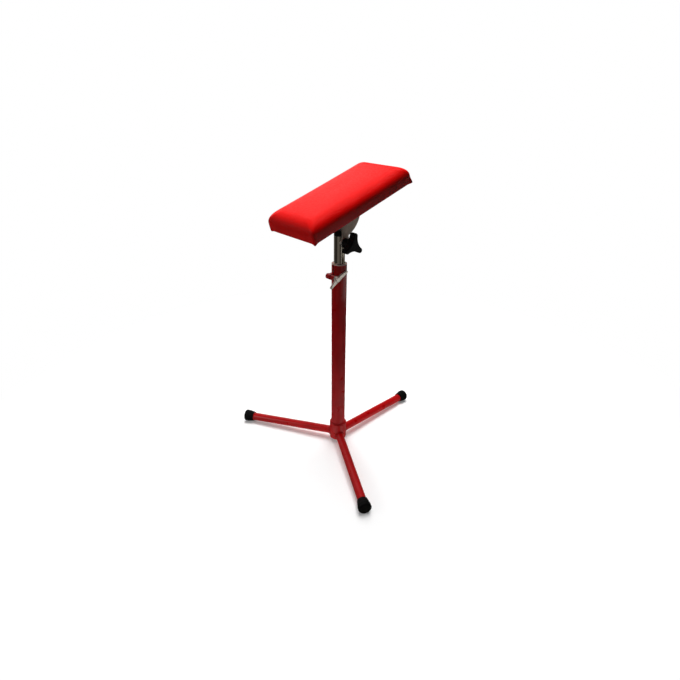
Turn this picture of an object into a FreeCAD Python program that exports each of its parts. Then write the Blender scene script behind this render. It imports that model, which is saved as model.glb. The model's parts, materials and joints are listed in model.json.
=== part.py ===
import FreeCAD, Part
import math
import os

# Tattoo arm rest stand, in millimetres.
# The origin is the middle of the feet's footprint, on the floor.
# +Z is up, +X is the way the pad's raised end points, and the right leg lies along +X.
# Each piece is drawn round the column's axis, and the whole is then set over the origin.

# Fits
running_clearance = 0.075
face_clearance = 0.1
overrun = 5.0

# Legs and feet
leg_angles = {"right": 0.0, "left": 120.0, "front": 240.0}
leg_outer_diameter = 25.0
leg_wall = 1.5
leg_height_at_column = 27.7
foot_reach = 328.0
foot_cap_diameter = 37.0
foot_cap_open_diameter = 30.0
foot_cap_length = 31.0
foot_cap_band = 12.0
foot_cap_end_wall = 4.0
foot_cap_rounding = 4.0
foot_tread_depth = 0.8

# Hub, column and welds
column_outer_diameter = 42.0
column_wall = 2.0
column_top = 592.0
hub_wall = 5.0
hub_bottom = 11.5
hub_top = 66.0
hub_weld_size = 3.5
leg_weld_size = 2.2
leg_weld_rounding = 1.5
column_plug_flange = 2.0
column_plug_length = 15.0

# Bushing in the column's top
bushing_flange = 2.0
bushing_length = 40.0
bushing_slit = 2.0

# Pinch clamp at the column's top
clamp_below_top = 32.0
clamp_offset = 28.0
clamp_slit = 3.0
clamp_slit_below = 28.0
clamp_slit_relief_diameter = 6.0
clamp_barrel_diameter = 15.0
clamp_barrel_length = 15.0
clamp_foot_height = 12.0
clamp_screw_diameter = 8.0
clamp_screw_end = 3.0
clamp_handle_thickness = 5.0
clamp_handle_clearance = 0.5
clamp_handle_crown = 1.5
clamp_handle_tip_radius = 4.0
clamp_handle_rounding = 1.5
clamp_handle_long_arm = 38.5
clamp_handle_long_angle = 23.4
clamp_handle_short_arm = 32.3
clamp_handle_short_angle = 218.0
washer_thickness = 1.6
clamp_washer_diameter = 16.0

# Post
post_outer_diameter = 30.0
post_wall = 1.5
post_length = 427.0
post_plug_flange = 17.0
post_plug_length = 8.0
post_plug_rounding = 3.0
guide_ring_length = 20.0
guide_collar_diameter = 34.0
guide_collar_length = 6.0
guide_plug_flange = 3.0
guide_plug_length = 15.0

# Tilt pivot
pivot_above_column = 61.0
post_above_pivot = 17.0
pivot_stud_diameter = 8.0
pivot_sleeve_diameter = 12.0
pivot_sleeve_recess = 0.2
saddle_radius = 10.0
saddle_depth = 9.0
stud_end_room = 1.5
knob_washer_diameter = 22.0

# Star knob
knob_lobes = 3
knob_lobe_angle = 7.0
knob_reach = 33.0
knob_lobe_radius = 7.0
knob_waist_radius = 14.2
knob_head_thickness = 19.0
knob_head_rounding = 3.0
knob_neck_diameter = 27.0
knob_neck_length = 18.4
knob_insert_diameter = 12.0
knob_insert_length = 27.0

# Tilt bracket, drawn level round the pivot: a runs along the pad, b up from the pivot
bracket_sheet = 4.0
cheek_inner = 16.0
bracket_flange_width = 40.0
bracket_bend_radius = 3.0
bracket_arc_radius = 68.0
bracket_arc_a = 13.0
bracket_arc_b = 82.0
bracket_boss_radius = 15.0
bracket_boss_a = 5.0
bracket_front_blend = 6.0
bracket_back_blend = 10.0
bracket_back_offset = 10.3
bracket_back_lean = 11.1
base_plate_length = 120.0
base_plate_width = 80.0
base_plate_thickness = 3.0
base_plate_corner = 8.0
base_plate_offset = 33.0
bracket_screw_diameter = 6.0
bracket_screw_head_diameter = 12.0
bracket_screw_head_height = 3.4
bracket_screw_along = 48.0
bracket_screw_across = 30.0
tee_nut_flange_diameter = 19.0
tee_nut_flange = 1.2
tee_nut_barrel_diameter = 7.8
tee_nut_barrel_length = 9.0

# Pad
pad_tilt = 17.1
pad_underside = 83.4
pad_length = 350.0
pad_width = 175.0
pad_thickness = 50.0
pad_offset = 34.6
pad_crown = 4.0
pad_shoulder_in = 34.0
pad_shoulder_high = 27.0
pad_lower_rounding = 3.0
pad_side_bulge = 1.5
pad_corner_radius = 8.0
corner_growth_share = 0.45
corner_limit_share = 0.45
side_level_shares = (0.35, 0.7)
crown_level_shares = (0.12, 0.3, 0.55, 0.8, 0.95)
board_thickness = 12.0
vinyl_thickness = 1.2
hem_width = 25.0
dust_cloth_thickness = 0.9
dust_cloth_gap = 0.3
staple_width = 10.0
staple_wire = 0.8
staple_leg = 6.0
staple_setback = 5.0
staples_along = 6
staples_across = 3

# Sizes that follow from those above
column_radius = column_outer_diameter / 2
column_bore_radius = column_radius - column_wall
hub_radius = column_radius + hub_wall
leg_radius = leg_outer_diameter / 2
foot_cap_radius = foot_cap_diameter / 2
leg_drop = leg_height_at_column - (foot_cap_radius - foot_tread_depth)
leg_slope = math.degrees(math.atan2(leg_drop, foot_reach))
leg_axis_length = math.hypot(leg_drop, foot_reach)
post_radius = post_outer_diameter / 2
post_bore_radius = post_radius - post_wall
pivot_height = column_top + pivot_above_column
post_top = pivot_height + post_above_pivot
post_bottom = post_top - post_length
clamp_height = column_top - clamp_below_top
clamp_barrel_end = clamp_slit / 2 + clamp_barrel_length
clamp_screw_radius = clamp_screw_diameter / 2
handle_inner_y = -(column_radius + clamp_handle_clearance)
pivot_stud_radius = pivot_stud_diameter / 2
pivot_sleeve_radius = pivot_sleeve_diameter / 2
far_wall = math.sqrt(post_radius ** 2 - pivot_sleeve_radius ** 2)
cheek_outer = cheek_inner + bracket_sheet
knob_start = cheek_outer + washer_thickness
bracket_top = pad_underside + vinyl_thickness - dust_cloth_thickness - base_plate_thickness
plate_top = bracket_top + base_plate_thickness
board_top = pad_underside + vinyl_thickness + board_thickness
legs_spread = math.radians(leg_angles["left"])
feet_ahead = foot_reach
feet_behind = foot_cap_radius * math.sin(legs_spread) - foot_reach * math.cos(legs_spread)
column_setback = (feet_ahead - feet_behind) / 2

x_axis = FreeCAD.Vector(1, 0, 0)
y_axis = FreeCAD.Vector(0, 1, 0)
z_axis = FreeCAD.Vector(0, 0, 1)
origin = FreeCAD.Vector(0, 0, 0)


def point(x, y, z):
    return FreeCAD.Vector(x, y, z)


def rod(radius, start, end):
    along = end - start
    return Part.makeCylinder(radius, along.Length, start, along)


def upright_rod(radius, low, high):
    return rod(radius, point(0, 0, low), point(0, 0, high))


def upright_tube(outer_radius, inner_radius, low, high):
    return upright_rod(outer_radius, low, high).cut(upright_rod(inner_radius, low, high))


def block(low, high):
    size = high - low
    return Part.makeBox(size.x, size.y, size.z, low)


def turned(edges, axis):
    face = Part.Face(Part.Wire(edges))
    return face.revolve(origin, axis, 360)


def line(start, end):
    return Part.LineSegment(start, end).toShape()


def arc(start, middle, end):
    return Part.Arc(start, middle, end).toShape()


def arc_round(centre, radius, start, end):
    """Arc from start to end about centre, the short way."""
    towards = (start - centre).normalize() + (end - centre).normalize()
    return arc(start, centre + towards.normalize() * radius, end)


def one_solid(shape):
    """The single solid of a shape that a cut or a fuse left inside a compound."""
    return shape.Solids[0]


def placed_in_pad(shape):
    """From the level drawing round the pivot to the tilted pad's place."""
    moved = shape.copy()
    moved.rotate(origin, y_axis, -pad_tilt)
    moved.translate(point(0, 0, pivot_height))
    return moved


# Base: three straight legs, which slope down from the hub to the feet
def placed_on_leg(shape, angle):
    """From a leg drawn along +X from the column's axis to its real slope and heading."""
    moved = shape.copy()
    moved.rotate(origin, y_axis, leg_slope)
    moved.translate(point(0, 0, leg_height_at_column))
    moved.rotate(origin, z_axis, angle)
    return moved


def leg_tube(angle):
    end = leg_axis_length - foot_cap_end_wall
    bore_radius = leg_radius - leg_wall
    tube = rod(leg_radius, origin, x_axis * end).cut(rod(bore_radius, origin, x_axis * end))
    tube = placed_on_leg(tube, angle)
    return one_solid(tube.cut(upright_rod(hub_radius, -overrun, hub_top)))


def foot_cap(angle):
    """A flared ferrule, turned about the leg's axis, then moulded flat where it stands."""
    end = leg_axis_length
    open_radius = foot_cap_open_diameter / 2
    corner_centre = point(end - foot_cap_rounding, 0, foot_cap_radius - foot_cap_rounding)
    face_edge = point(end, 0, corner_centre.z)
    band_start = point(corner_centre.x, 0, foot_cap_radius)
    band_end = point(end - foot_cap_band, 0, foot_cap_radius)
    mouth_outer = point(end - foot_cap_length, 0, open_radius)
    mouth_inner = point(end - foot_cap_length, 0, leg_radius)
    seat_edge = point(end - foot_cap_end_wall, 0, leg_radius)
    seat_centre = point(end - foot_cap_end_wall, 0, 0)
    face_centre = point(end, 0, 0)
    edges = [
        line(face_centre, face_edge),
        arc_round(corner_centre, foot_cap_rounding, face_edge, band_start),
        line(band_start, band_end),
        line(band_end, mouth_outer),
        line(mouth_outer, mouth_inner),
        line(mouth_inner, seat_edge),
        line(seat_edge, seat_centre),
        line(seat_centre, face_centre),
    ]
    cap = placed_on_leg(turned(edges, x_axis), angle)
    reach = foot_reach + foot_cap_diameter
    below_floor = block(point(-reach, -reach, -foot_cap_diameter), point(reach, reach, 0))
    return one_solid(cap.cut(below_floor))


def leg_weld(angle):
    """The bead where a leg meets the hub: a collar round the leg, on the hub's curve."""
    reach = hub_radius + leg_weld_size
    collar = rod(leg_radius + leg_weld_size, origin, x_axis * (reach + leg_weld_size))
    leg = rod(leg_radius, origin, x_axis * (reach + leg_weld_size + overrun))
    collar = placed_on_leg(collar, angle).cut(placed_on_leg(leg, angle))
    collar = collar.common(upright_tube(reach, hub_radius, -overrun, hub_top))
    bead = one_solid(collar)
    outer_edges = []
    for edge in bead.Edges:
        vertex_radii = [math.hypot(vertex.X, vertex.Y) for vertex in edge.Vertexes]
        middle = edge.valueAt((edge.FirstParameter + edge.LastParameter) / 2)
        on_reach = abs(math.hypot(middle.x, middle.y) - reach) < running_clearance
        axis_point = placed_on_leg(Part.Vertex(origin), angle).Point
        axis_end = placed_on_leg(Part.Vertex(x_axis * reach), angle).Point
        from_axis = middle.distanceToLine(axis_point, axis_end - axis_point)
        on_collar = abs(from_axis - leg_radius - leg_weld_size) < running_clearance
        if vertex_radii and on_reach and on_collar:
            outer_edges.append(edge)
    return bead.makeFillet(leg_weld_rounding, outer_edges)


def hub_weld():
    """The bead round the column, on the hub's top."""
    foot = point(column_radius, 0, hub_top)
    outer = point(column_radius + hub_weld_size, 0, hub_top)
    upper = point(column_radius, 0, hub_top + hub_weld_size)
    edges = [line(foot, outer), arc_round(foot, hub_weld_size, outer, upper), line(upper, foot)]
    return turned(edges, z_axis)


def weld_beads():
    return Part.makeCompound([hub_weld()] + [leg_weld(angle) for angle in leg_angles.values()])


def hub_sleeve():
    return upright_tube(hub_radius, column_radius, hub_bottom, hub_top)


# Column with its split top
def column_tube():
    tube = upright_tube(column_radius, column_bore_radius, hub_bottom, column_top)
    slit_bottom = clamp_height - clamp_slit_below
    slit_low = point(-column_radius - overrun, -clamp_slit / 2, slit_bottom)
    slit_high = point(0, clamp_slit / 2, column_top + overrun)
    relief = rod(
        clamp_slit_relief_diameter / 2,
        point(-column_radius - overrun, 0, slit_bottom),
        point(0, 0, slit_bottom),
    )
    return one_solid(tube.cut(block(slit_low, slit_high)).cut(relief))


def column_bottom_plug():
    flange_bottom = hub_bottom - column_plug_flange
    flange = upright_rod(column_radius, flange_bottom, hub_bottom)
    body = upright_rod(column_bore_radius, flange_bottom, hub_bottom + column_plug_length)
    return one_solid(flange.fuse(body))


def column_bushing():
    """A split nylon bushing: the clamp squeezes it on to the post."""
    flange = upright_rod(column_radius, column_top, column_top + bushing_flange)
    sleeve = upright_rod(column_bore_radius, column_top - bushing_length, column_top)
    bore = upright_rod(
        post_radius + running_clearance,
        column_top - bushing_length,
        column_top + bushing_flange,
    )
    slit_low = point(-column_radius - overrun, -bushing_slit / 2, column_top - bushing_length)
    slit_high = point(0, bushing_slit / 2, column_top + bushing_flange)
    return one_solid(flange.fuse(sleeve).cut(bore).cut(block(slit_low, slit_high)))


# Pinch clamp: a welded barrel on each side of the slit, a screw, and a wing handle
def clamp_point(y):
    return point(-clamp_offset, y, clamp_height)


def clamp_rod(radius, start_y, end_y):
    return rod(radius, clamp_point(start_y), clamp_point(end_y))


def clamp_barrel(side):
    near = side * clamp_slit / 2
    far = side * clamp_barrel_end
    barrel = clamp_rod(clamp_barrel_diameter / 2, near, far)
    low = point(-clamp_offset, min(near, far), clamp_height - clamp_foot_height / 2)
    high = point(0, max(near, far), clamp_height + clamp_foot_height / 2)
    foot = block(low, high)
    bore = clamp_rod(clamp_screw_radius + running_clearance, near, far)
    around = upright_rod(
        column_radius,
        clamp_height - clamp_barrel_diameter,
        clamp_height + clamp_barrel_diameter,
    )
    return one_solid(barrel.fuse(foot).cut(around).cut(bore))


def clamp_washer():
    start = -clamp_barrel_end
    washer = clamp_rod(clamp_washer_diameter / 2, start, start - washer_thickness)
    bore = clamp_rod(clamp_screw_radius + running_clearance, start, start - washer_thickness)
    return washer.cut(bore)


def handle_arm(arm_length, angle):
    """One tapering arm: from the hub's circle to the tip's, along straight flanks."""
    hub_circle = clamp_barrel_diameter / 2
    tip_distance = arm_length - clamp_handle_tip_radius
    outward = math.radians(angle)
    flank = math.acos((hub_circle - clamp_handle_tip_radius) / tip_distance)
    hub = clamp_point(handle_inner_y)
    direction = point(math.cos(outward), 0, math.sin(outward))
    tip = hub + direction * tip_distance

    def on_circle(centre, radius, turn):
        return centre + point(math.cos(turn), 0, math.sin(turn)) * radius

    left_root = on_circle(hub, hub_circle, outward + flank)
    left_tip = on_circle(tip, clamp_handle_tip_radius, outward + flank)
    tip_end = tip + direction * clamp_handle_tip_radius
    right_tip = on_circle(tip, clamp_handle_tip_radius, outward - flank)
    right_root = on_circle(hub, hub_circle, outward - flank)
    edges = [
        line(left_root, left_tip),
        arc(left_tip, tip_end, right_tip),
        line(right_tip, right_root),
        line(right_root, left_root),
    ]
    face = Part.Face(Part.Wire(edges))
    arm = face.extrude(point(0, -clamp_handle_thickness, 0))
    rounded = [edge for edge in arm.Edges if tip_edge(edge, hub, hub_circle)]
    return arm.makeFillet(clamp_handle_rounding, rounded)


def tip_edge(edge, hub, hub_circle):
    """True for the edges of an arm's two faces, away from the hub."""
    ends = [vertex.Point for vertex in edge.Vertexes]
    lies_flat = abs(ends[0].y - ends[-1].y) < running_clearance
    outside = max(end.distanceToLine(hub, y_axis) for end in ends) > hub_circle + running_clearance
    return lies_flat and outside


def clamp_handle():
    """A cast wing handle, with the screw's end fixed in its hub."""
    start = -clamp_barrel_end - washer_thickness
    crown = handle_inner_y - clamp_handle_thickness - clamp_handle_crown
    hub = clamp_rod(clamp_barrel_diameter / 2, start, crown)
    crown_edges = [edge for edge in hub.Edges if edge.BoundBox.YMax < crown + running_clearance]
    hub = hub.makeFillet(clamp_handle_rounding, crown_edges)
    long_arm = handle_arm(clamp_handle_long_arm, clamp_handle_long_angle)
    short_arm = handle_arm(clamp_handle_short_arm, clamp_handle_short_angle)
    handle = hub.fuse(long_arm).fuse(short_arm)
    screw_room = clamp_rod(clamp_screw_radius, start, handle_inner_y - clamp_handle_thickness)
    return one_solid(handle.cut(screw_room))


def clamp_screw():
    return clamp_rod(
        clamp_screw_radius,
        handle_inner_y - clamp_handle_thickness,
        clamp_barrel_end + clamp_screw_end,
    )


# Guide at the post's lower end: a nylon ring between a steel collar and the bottom plug
def guide_ring():
    low = post_bottom + face_clearance
    outer = column_bore_radius - running_clearance
    return upright_tube(outer, post_radius + running_clearance, low, low + guide_ring_length)


def guide_stop_collar():
    low = post_bottom + guide_ring_length + 2 * face_clearance
    return upright_tube(guide_collar_diameter / 2, post_radius, low, low + guide_collar_length)


def post_bottom_plug():
    flange_bottom = post_bottom - guide_plug_flange
    flange = upright_rod(guide_collar_diameter / 2, flange_bottom, post_bottom)
    body = upright_rod(post_bore_radius, flange_bottom, post_bottom + guide_plug_length)
    return one_solid(flange.fuse(body))


# Post with its pivot sleeve
def pivot_rod(radius, start_y, end_y):
    return rod(radius, point(0, start_y, pivot_height), point(0, end_y, pivot_height))


def post_tube():
    tube = upright_tube(post_radius, post_bore_radius, post_bottom, post_top)
    cross_hole = pivot_rod(pivot_sleeve_radius, -post_outer_diameter, post_outer_diameter)
    return one_solid(tube.cut(cross_hole))


def post_top_plug():
    flange = upright_rod(post_radius, post_top, post_top + post_plug_flange)
    top_edges = [edge for edge in flange.Edges if edge.BoundBox.ZMin > post_top + post_plug_rounding]
    flange = flange.makeFillet(post_plug_rounding, top_edges)
    body = upright_rod(post_bore_radius, post_top - post_plug_length, post_top)
    return one_solid(flange.fuse(body))


def pivot_sleeve():
    """Goes through both walls of the post, flush with the far one, and holds the stud."""
    near_end = -(cheek_inner - face_clearance - pivot_sleeve_recess)
    sleeve = pivot_rod(pivot_sleeve_radius, near_end, far_wall)
    return sleeve.cut(pivot_rod(pivot_stud_radius, near_end, far_wall))


def pivot_stud():
    end = -(knob_start + knob_insert_length - stud_end_room)
    return pivot_rod(pivot_stud_radius, end, far_wall)


def pivot_saddle():
    """Hollowed to the post on one side, flat against the cheek on the other."""
    outer = face_clearance - cheek_inner
    inner = outer + saddle_depth
    saddle = pivot_rod(saddle_radius, outer, inner)
    reach = saddle_radius + overrun
    saddle = saddle.cut(upright_rod(post_radius, pivot_height - reach, pivot_height + reach))
    return one_solid(saddle.cut(pivot_rod(pivot_sleeve_radius, outer, inner)))


# Tilt bracket: one bent sheet, a cheek beside the post and a flange under the base plate
def bracket_outline():
    """The cheek's outline in the (a, b) drawing, as a face at y = 0."""
    boss = point(bracket_boss_a, 0, 0)
    arc_centre = point(bracket_arc_a, 0, bracket_arc_b)
    lean = math.radians(bracket_back_lean)
    up_back = point(math.sin(lean), 0, math.cos(lean))
    behind = point(-math.cos(lean), 0, math.sin(lean))

    # Front blend, outside both the big arc and the boss
    reach_boss = bracket_boss_radius + bracket_front_blend
    reach_arc = bracket_arc_radius + bracket_front_blend
    between = arc_centre - boss
    apart = between.Length
    along = (reach_boss ** 2 - reach_arc ** 2 + apart ** 2) / (2 * apart)
    aside = math.sqrt(reach_boss ** 2 - along ** 2)
    unit = between * (1 / apart)
    right = point(unit.z, 0, -unit.x)
    front_blend = boss + unit * along + right * aside
    front_on_boss = boss + (front_blend - boss) * (bracket_boss_radius / reach_boss)
    front_on_arc = arc_centre + (front_blend - arc_centre) * (bracket_arc_radius / reach_arc)

    # Back blend, outside the boss and behind the straight back edge
    reach_back = bracket_boss_radius + bracket_back_blend
    offset = bracket_back_offset + bracket_back_blend
    rise = math.sqrt(reach_back ** 2 - offset ** 2)
    back_blend = boss + behind * offset + up_back * rise
    back_on_boss = boss + (back_blend - boss) * (bracket_boss_radius / reach_back)
    back_on_edge = back_blend - behind * bracket_back_blend
    back_top = back_on_edge + up_back * ((bracket_top - back_on_edge.z) / up_back.z)

    front_top = point(bracket_arc_a + bracket_arc_radius, 0, bracket_top)
    arc_start = point(front_top.x, 0, bracket_arc_b)
    boss_bottom = boss - point(0, 0, bracket_boss_radius)
    edges = [
        line(back_top, front_top),
        line(front_top, arc_start),
        arc_round(arc_centre, bracket_arc_radius, arc_start, front_on_arc),
        arc_round(front_blend, bracket_front_blend, front_on_arc, front_on_boss),
        arc(front_on_boss, boss_bottom, back_on_boss),
        arc_round(back_blend, bracket_back_blend, back_on_boss, back_on_edge),
        line(back_on_edge, back_top),
    ]
    return Part.Face(Part.Wire(edges))


def bracket_section(near, far, top, bend):
    """An angle's outline across the pad, bent on the near side and filled in below."""
    start = -bracket_arc_radius
    bottom = -bracket_arc_radius
    near_low = point(start, -near, bottom)
    near_bend = point(start, -near, top - bend)
    near_top = point(start, bend - near, top)
    far_top = point(start, far, top)
    far_low = point(start, far, bottom)
    edges = [
        line(near_low, near_bend),
        arc_round(point(start, bend - near, top - bend), bend, near_bend, near_top),
        line(near_top, far_top),
        line(far_top, far_low),
        line(far_low, near_low),
    ]
    length = bracket_arc_a + 2 * bracket_arc_radius + overrun
    return Part.Face(Part.Wire(edges)).extrude(x_axis * length)


def tilt_bracket():
    outline = bracket_outline()
    outline.translate(y_axis * -cheek_outer)
    plate = outline.extrude(y_axis * bracket_flange_width)
    far_edge = bracket_flange_width - cheek_outer
    outside = bracket_section(cheek_outer, far_edge, bracket_top, bracket_bend_radius + bracket_sheet)
    under_flange = bracket_top - bracket_sheet
    inside = bracket_section(cheek_inner, far_edge + overrun, under_flange, bracket_bend_radius)
    stud_hole = rod(
        pivot_stud_radius + running_clearance,
        y_axis * -(cheek_outer + overrun),
        origin,
    )
    return placed_in_pad(one_solid(plate.common(outside).cut(inside).cut(stud_hole)))


def screw_places():
    places = []
    for along in (-bracket_screw_along, bracket_screw_along):
        for across in (-bracket_screw_across, bracket_screw_across):
            places.append(point(base_plate_offset + along, across, 0))
    return places


def rounded_outline(length, width, corner, height):
    """A rounded rectangle's wire, centred, at one height: four sides and four corners."""
    half_length = length / 2
    half_width = width / 2
    edges = []
    for x_side, y_side in ((1, 1), (-1, 1), (-1, -1), (1, -1)):
        centre = point(x_side * (half_length - corner), y_side * (half_width - corner), height)
        along_x = centre + point(x_side * corner, 0, 0)
        along_y = centre + point(0, y_side * corner, 0)
        first, last = (along_x, along_y) if x_side == y_side else (along_y, along_x)
        if edges:
            edges.append(line(edges[-1].Vertexes[-1].Point, first))
        edges.append(arc_round(centre, corner, first, last))
    edges.append(line(edges[-1].Vertexes[-1].Point, edges[0].Vertexes[0].Point))
    return Part.Wire(edges)


def rounded_plate(length, width, corner, low, high):
    face = Part.Face(rounded_outline(length, width, corner, low))
    return face.extrude(z_axis * (high - low))


def bracket_base_plate():
    plate = rounded_plate(
        base_plate_length,
        base_plate_width,
        base_plate_corner,
        bracket_top,
        plate_top,
    )
    plate.translate(x_axis * base_plate_offset)
    return placed_in_pad(plate.cut(Part.makeCompound(level_screws())))


def level_screws():
    """Pan head screws, from under the base plate into the tee nuts."""
    screws = []
    radius = bracket_screw_diameter / 2
    head_radius = bracket_screw_head_diameter / 2
    for place in screw_places():
        seat = place + z_axis * bracket_top
        head = rod(head_radius, seat - z_axis * bracket_screw_head_height, seat)
        under = [edge for edge in head.Edges if edge.BoundBox.ZMax < seat.z - running_clearance]
        head = head.makeFillet(radius / 2, under)
        shank = rod(radius, seat - z_axis * radius, place + z_axis * board_top)
        screws.append(one_solid(head.fuse(shank)))
    return screws


def level_tee_nuts():
    nuts = []
    for place in screw_places():
        top = place + z_axis * board_top
        flange = rod(tee_nut_flange_diameter / 2, top, top + z_axis * tee_nut_flange)
        barrel = rod(tee_nut_barrel_diameter / 2, top - z_axis * tee_nut_barrel_length, top)
        bore = rod(
            bracket_screw_diameter / 2,
            top - z_axis * tee_nut_barrel_length,
            top + z_axis * tee_nut_flange,
        )
        nuts.append(one_solid(flange.fuse(barrel).cut(bore)))
    return nuts


def bracket_screws():
    return placed_in_pad(Part.makeCompound(level_screws()))


def bracket_tee_nuts():
    return placed_in_pad(Part.makeCompound(level_tee_nuts()))


# Washer and star knob on the pivot stud, drawn round the pivot and then lifted to it
def lifted_to_pivot(shape):
    moved = shape.copy()
    moved.translate(point(0, 0, pivot_height))
    return moved


def knob_rod(radius, start, end):
    """A rod along the pivot, on the knob's side, between two distances from the post's axis."""
    return rod(radius, y_axis * -start, y_axis * -end)


def knob_washer():
    washer = knob_rod(knob_washer_diameter / 2, cheek_outer, knob_start)
    bore = knob_rod(pivot_stud_radius + running_clearance, cheek_outer, knob_start)
    return lifted_to_pivot(washer.cut(bore))


def knob_outline(distance):
    """Round lobes joined by hollow flanks that meet them without a corner."""
    lobe_distance = knob_reach - knob_lobe_radius
    half_step = math.pi / knob_lobes
    swing = 2 * lobe_distance * math.cos(half_step)
    flank_radius = (
        lobe_distance ** 2 + knob_waist_radius ** 2 - swing * knob_waist_radius - knob_lobe_radius ** 2
    ) / (2 * knob_lobe_radius + swing - 2 * knob_waist_radius)
    flank_distance = flank_radius + knob_waist_radius
    touch_share = knob_lobe_radius / (knob_lobe_radius + flank_radius)

    def place(radius, turn):
        return point(radius * math.sin(turn), -distance, radius * math.cos(turn))

    edges = []
    for lobe in range(knob_lobes):
        turn = math.radians(knob_lobe_angle) + 2 * half_step * lobe
        lobe_centre = place(lobe_distance, turn)
        before = place(flank_distance, turn - half_step)
        after = place(flank_distance, turn + half_step)
        next_centre = place(lobe_distance, turn + 2 * half_step)
        start = lobe_centre + (before - lobe_centre) * touch_share
        end = lobe_centre + (after - lobe_centre) * touch_share
        next_start = next_centre + (after - next_centre) * touch_share
        edges.append(arc(start, place(knob_reach, turn), end))
        edges.append(arc(end, place(knob_waist_radius, turn + half_step), next_start))
    return Part.Face(Part.Wire(edges))


def tilt_knob():
    head_start = knob_start + knob_neck_length
    head = knob_outline(head_start).extrude(y_axis * -knob_head_thickness)
    face_edges = [edge for edge in head.Edges if edge.BoundBox.YLength < running_clearance]
    head = head.makeFillet(knob_head_rounding, face_edges)
    neck_end = head_start + knob_head_rounding
    neck = knob_rod(knob_neck_diameter / 2, knob_start, neck_end)
    knob = head.fuse(neck)
    socket = knob_rod(knob_insert_diameter / 2, knob_start, knob_start + knob_insert_length)
    return lifted_to_pivot(one_solid(knob.cut(socket)))


def tilt_knob_insert():
    end = knob_start + knob_insert_length
    insert = knob_rod(knob_insert_diameter / 2, knob_start, end)
    return lifted_to_pivot(insert.cut(knob_rod(pivot_stud_radius + running_clearance, knob_start, end)))


# Pad: a board and a foam block in a vinyl cover, drawn level with its underside at height 0
def pad_levels(skin):
    """Pairs of height and inset that the pad's side goes through, a skin's depth inside it."""
    levels = []
    for degrees in (90, 45, 0):
        turn = math.radians(degrees)
        inset = pad_side_bulge + pad_lower_rounding - (pad_lower_rounding - skin) * math.cos(turn)
        levels.append((pad_lower_rounding - (pad_lower_rounding - skin) * math.sin(turn), inset))
    board_level = vinyl_thickness + board_thickness
    shoulder_level = pad_thickness - pad_shoulder_high
    levels.append((board_level, pad_side_bulge + skin))
    for share in side_level_shares:
        height = board_level + share * (shoulder_level - board_level)
        levels.append((height, skin + pad_side_bulge * (1 - share) ** 2))
    for degrees in (0, 20, 40, 60, 80):
        turn = math.radians(degrees)
        inset = pad_shoulder_in - (pad_shoulder_in - skin) * math.cos(turn)
        levels.append((shoulder_level + (pad_shoulder_high - skin) * math.sin(turn), inset))
    for share in crown_level_shares:
        inset = pad_shoulder_in + share * (pad_width / 2 - pad_shoulder_in)
        levels.append((pad_thickness - skin + pad_crown * (1 - (1 - share) ** 2), inset))
    return levels


def pad_form(skin):
    """The pad's closed form: drawn-in lower edge, full sides, soft shoulders and crown."""
    sections = []
    for height, inset in pad_levels(skin):
        width = pad_width - 2 * inset
        corner = min(pad_corner_radius + corner_growth_share * inset, corner_limit_share * width)
        sections.append(rounded_outline(pad_length - 2 * inset, width, corner, height))
    return Part.makeLoft(sections, True, False)


def hem_opening(gap, low, high):
    """What the hem leaves open under the board, less a gap all round."""
    length = pad_length - 2 * (hem_width + gap)
    width = pad_width - 2 * (hem_width + gap)
    return rounded_plate(length, width, pad_corner_radius, low, high)


def level_staples():
    """Wire staples through the hem's inner edge, along each side of the pad."""
    staples = []
    half_length = pad_length / 2 - hem_width + staple_setback
    half_width = pad_width / 2 - hem_width + staple_setback
    for index in range(staples_along):
        along = pad_length * ((index + 1) / (staples_along + 1) - 1 / 2)
        staples.append(staple(point(along, half_width, 0), True))
        staples.append(staple(point(along, -half_width, 0), True))
    for index in range(staples_across):
        across = pad_width * ((index + 1) / (staples_across + 1) - 1 / 2)
        staples.append(staple(point(half_length, across, 0), False))
        staples.append(staple(point(-half_length, across, 0), False))
    return staples


def staple(place, lies_along):
    half = staple_width / 2
    wire = staple_wire
    crown = block(point(-half, -wire / 2, -wire), point(half, wire / 2, 0))
    legs = [
        block(point(-half, -wire / 2, 0), point(-half + wire, wire / 2, staple_leg)),
        block(point(half - wire, -wire / 2, 0), point(half, wire / 2, staple_leg)),
    ]
    shape = one_solid(crown.fuse(legs[0]).fuse(legs[1]))
    if not lies_along:
        shape.rotate(origin, z_axis, 90)
    shape.translate(place)
    return shape


def placed_pad(shape):
    """From the level pad to its place on the base plate, in the tilted frame."""
    moved = shape.copy()
    moved.translate(point(pad_offset, 0, pad_underside))
    return placed_in_pad(moved)


def fasteners_in_pad():
    """Screws, tee nuts and staples in the level pad's own drawing, for their holes."""
    fasteners = []
    for shape in level_screws() + level_tee_nuts():
        moved = shape.copy()
        moved.translate(point(-pad_offset, 0, -pad_underside))
        fasteners.append(moved)
    return Part.makeCompound(fasteners + level_staples())


def pad_slab(low, high):
    half_length = pad_length / 2 + overrun
    half_width = pad_width / 2 + overrun
    return block(point(-half_length, -half_width, low), point(half_length, half_width, high))


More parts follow.
